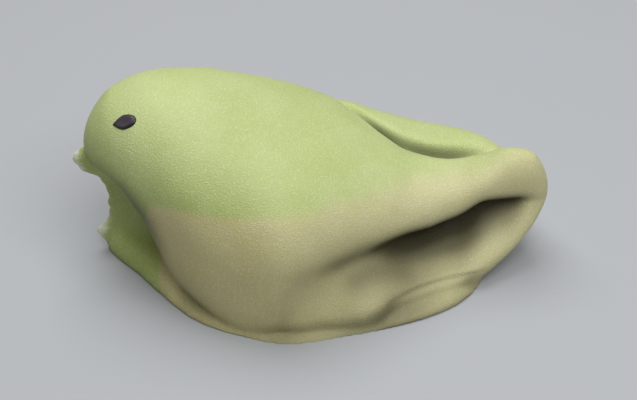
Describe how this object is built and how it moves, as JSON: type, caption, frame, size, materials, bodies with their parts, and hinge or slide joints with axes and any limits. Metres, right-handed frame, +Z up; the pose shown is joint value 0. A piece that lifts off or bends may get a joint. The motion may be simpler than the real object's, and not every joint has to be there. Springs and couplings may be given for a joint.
{
  "type": "bean paste sweet in the form of a small bird",
  "caption": "Hand-formed bean paste sweet shaped as a plump resting bird: green paste pressed onto cream paste, with a pinched beak and tail and sesame seed eyes.",
  "frame": {"origin": "centre of the bounding box's footprint, on the plane that the sweet rests on", "axes": "+X towards the tail, along the bird's length; +Y towards the bird's left, away from the scooped side of the tail; +Z up"},
  "size_m": [0.0612, 0.0372, 0.0262],
  "materials": {
    "green_paste": null,
    "cream_paste": null,
    "seed": "dull purple-black sesame seed skin"
  },
  "bodies": {
    "root": {"green_paste": "green_paste", "cream_paste": "cream_paste"}
  },
  "joints": []
}
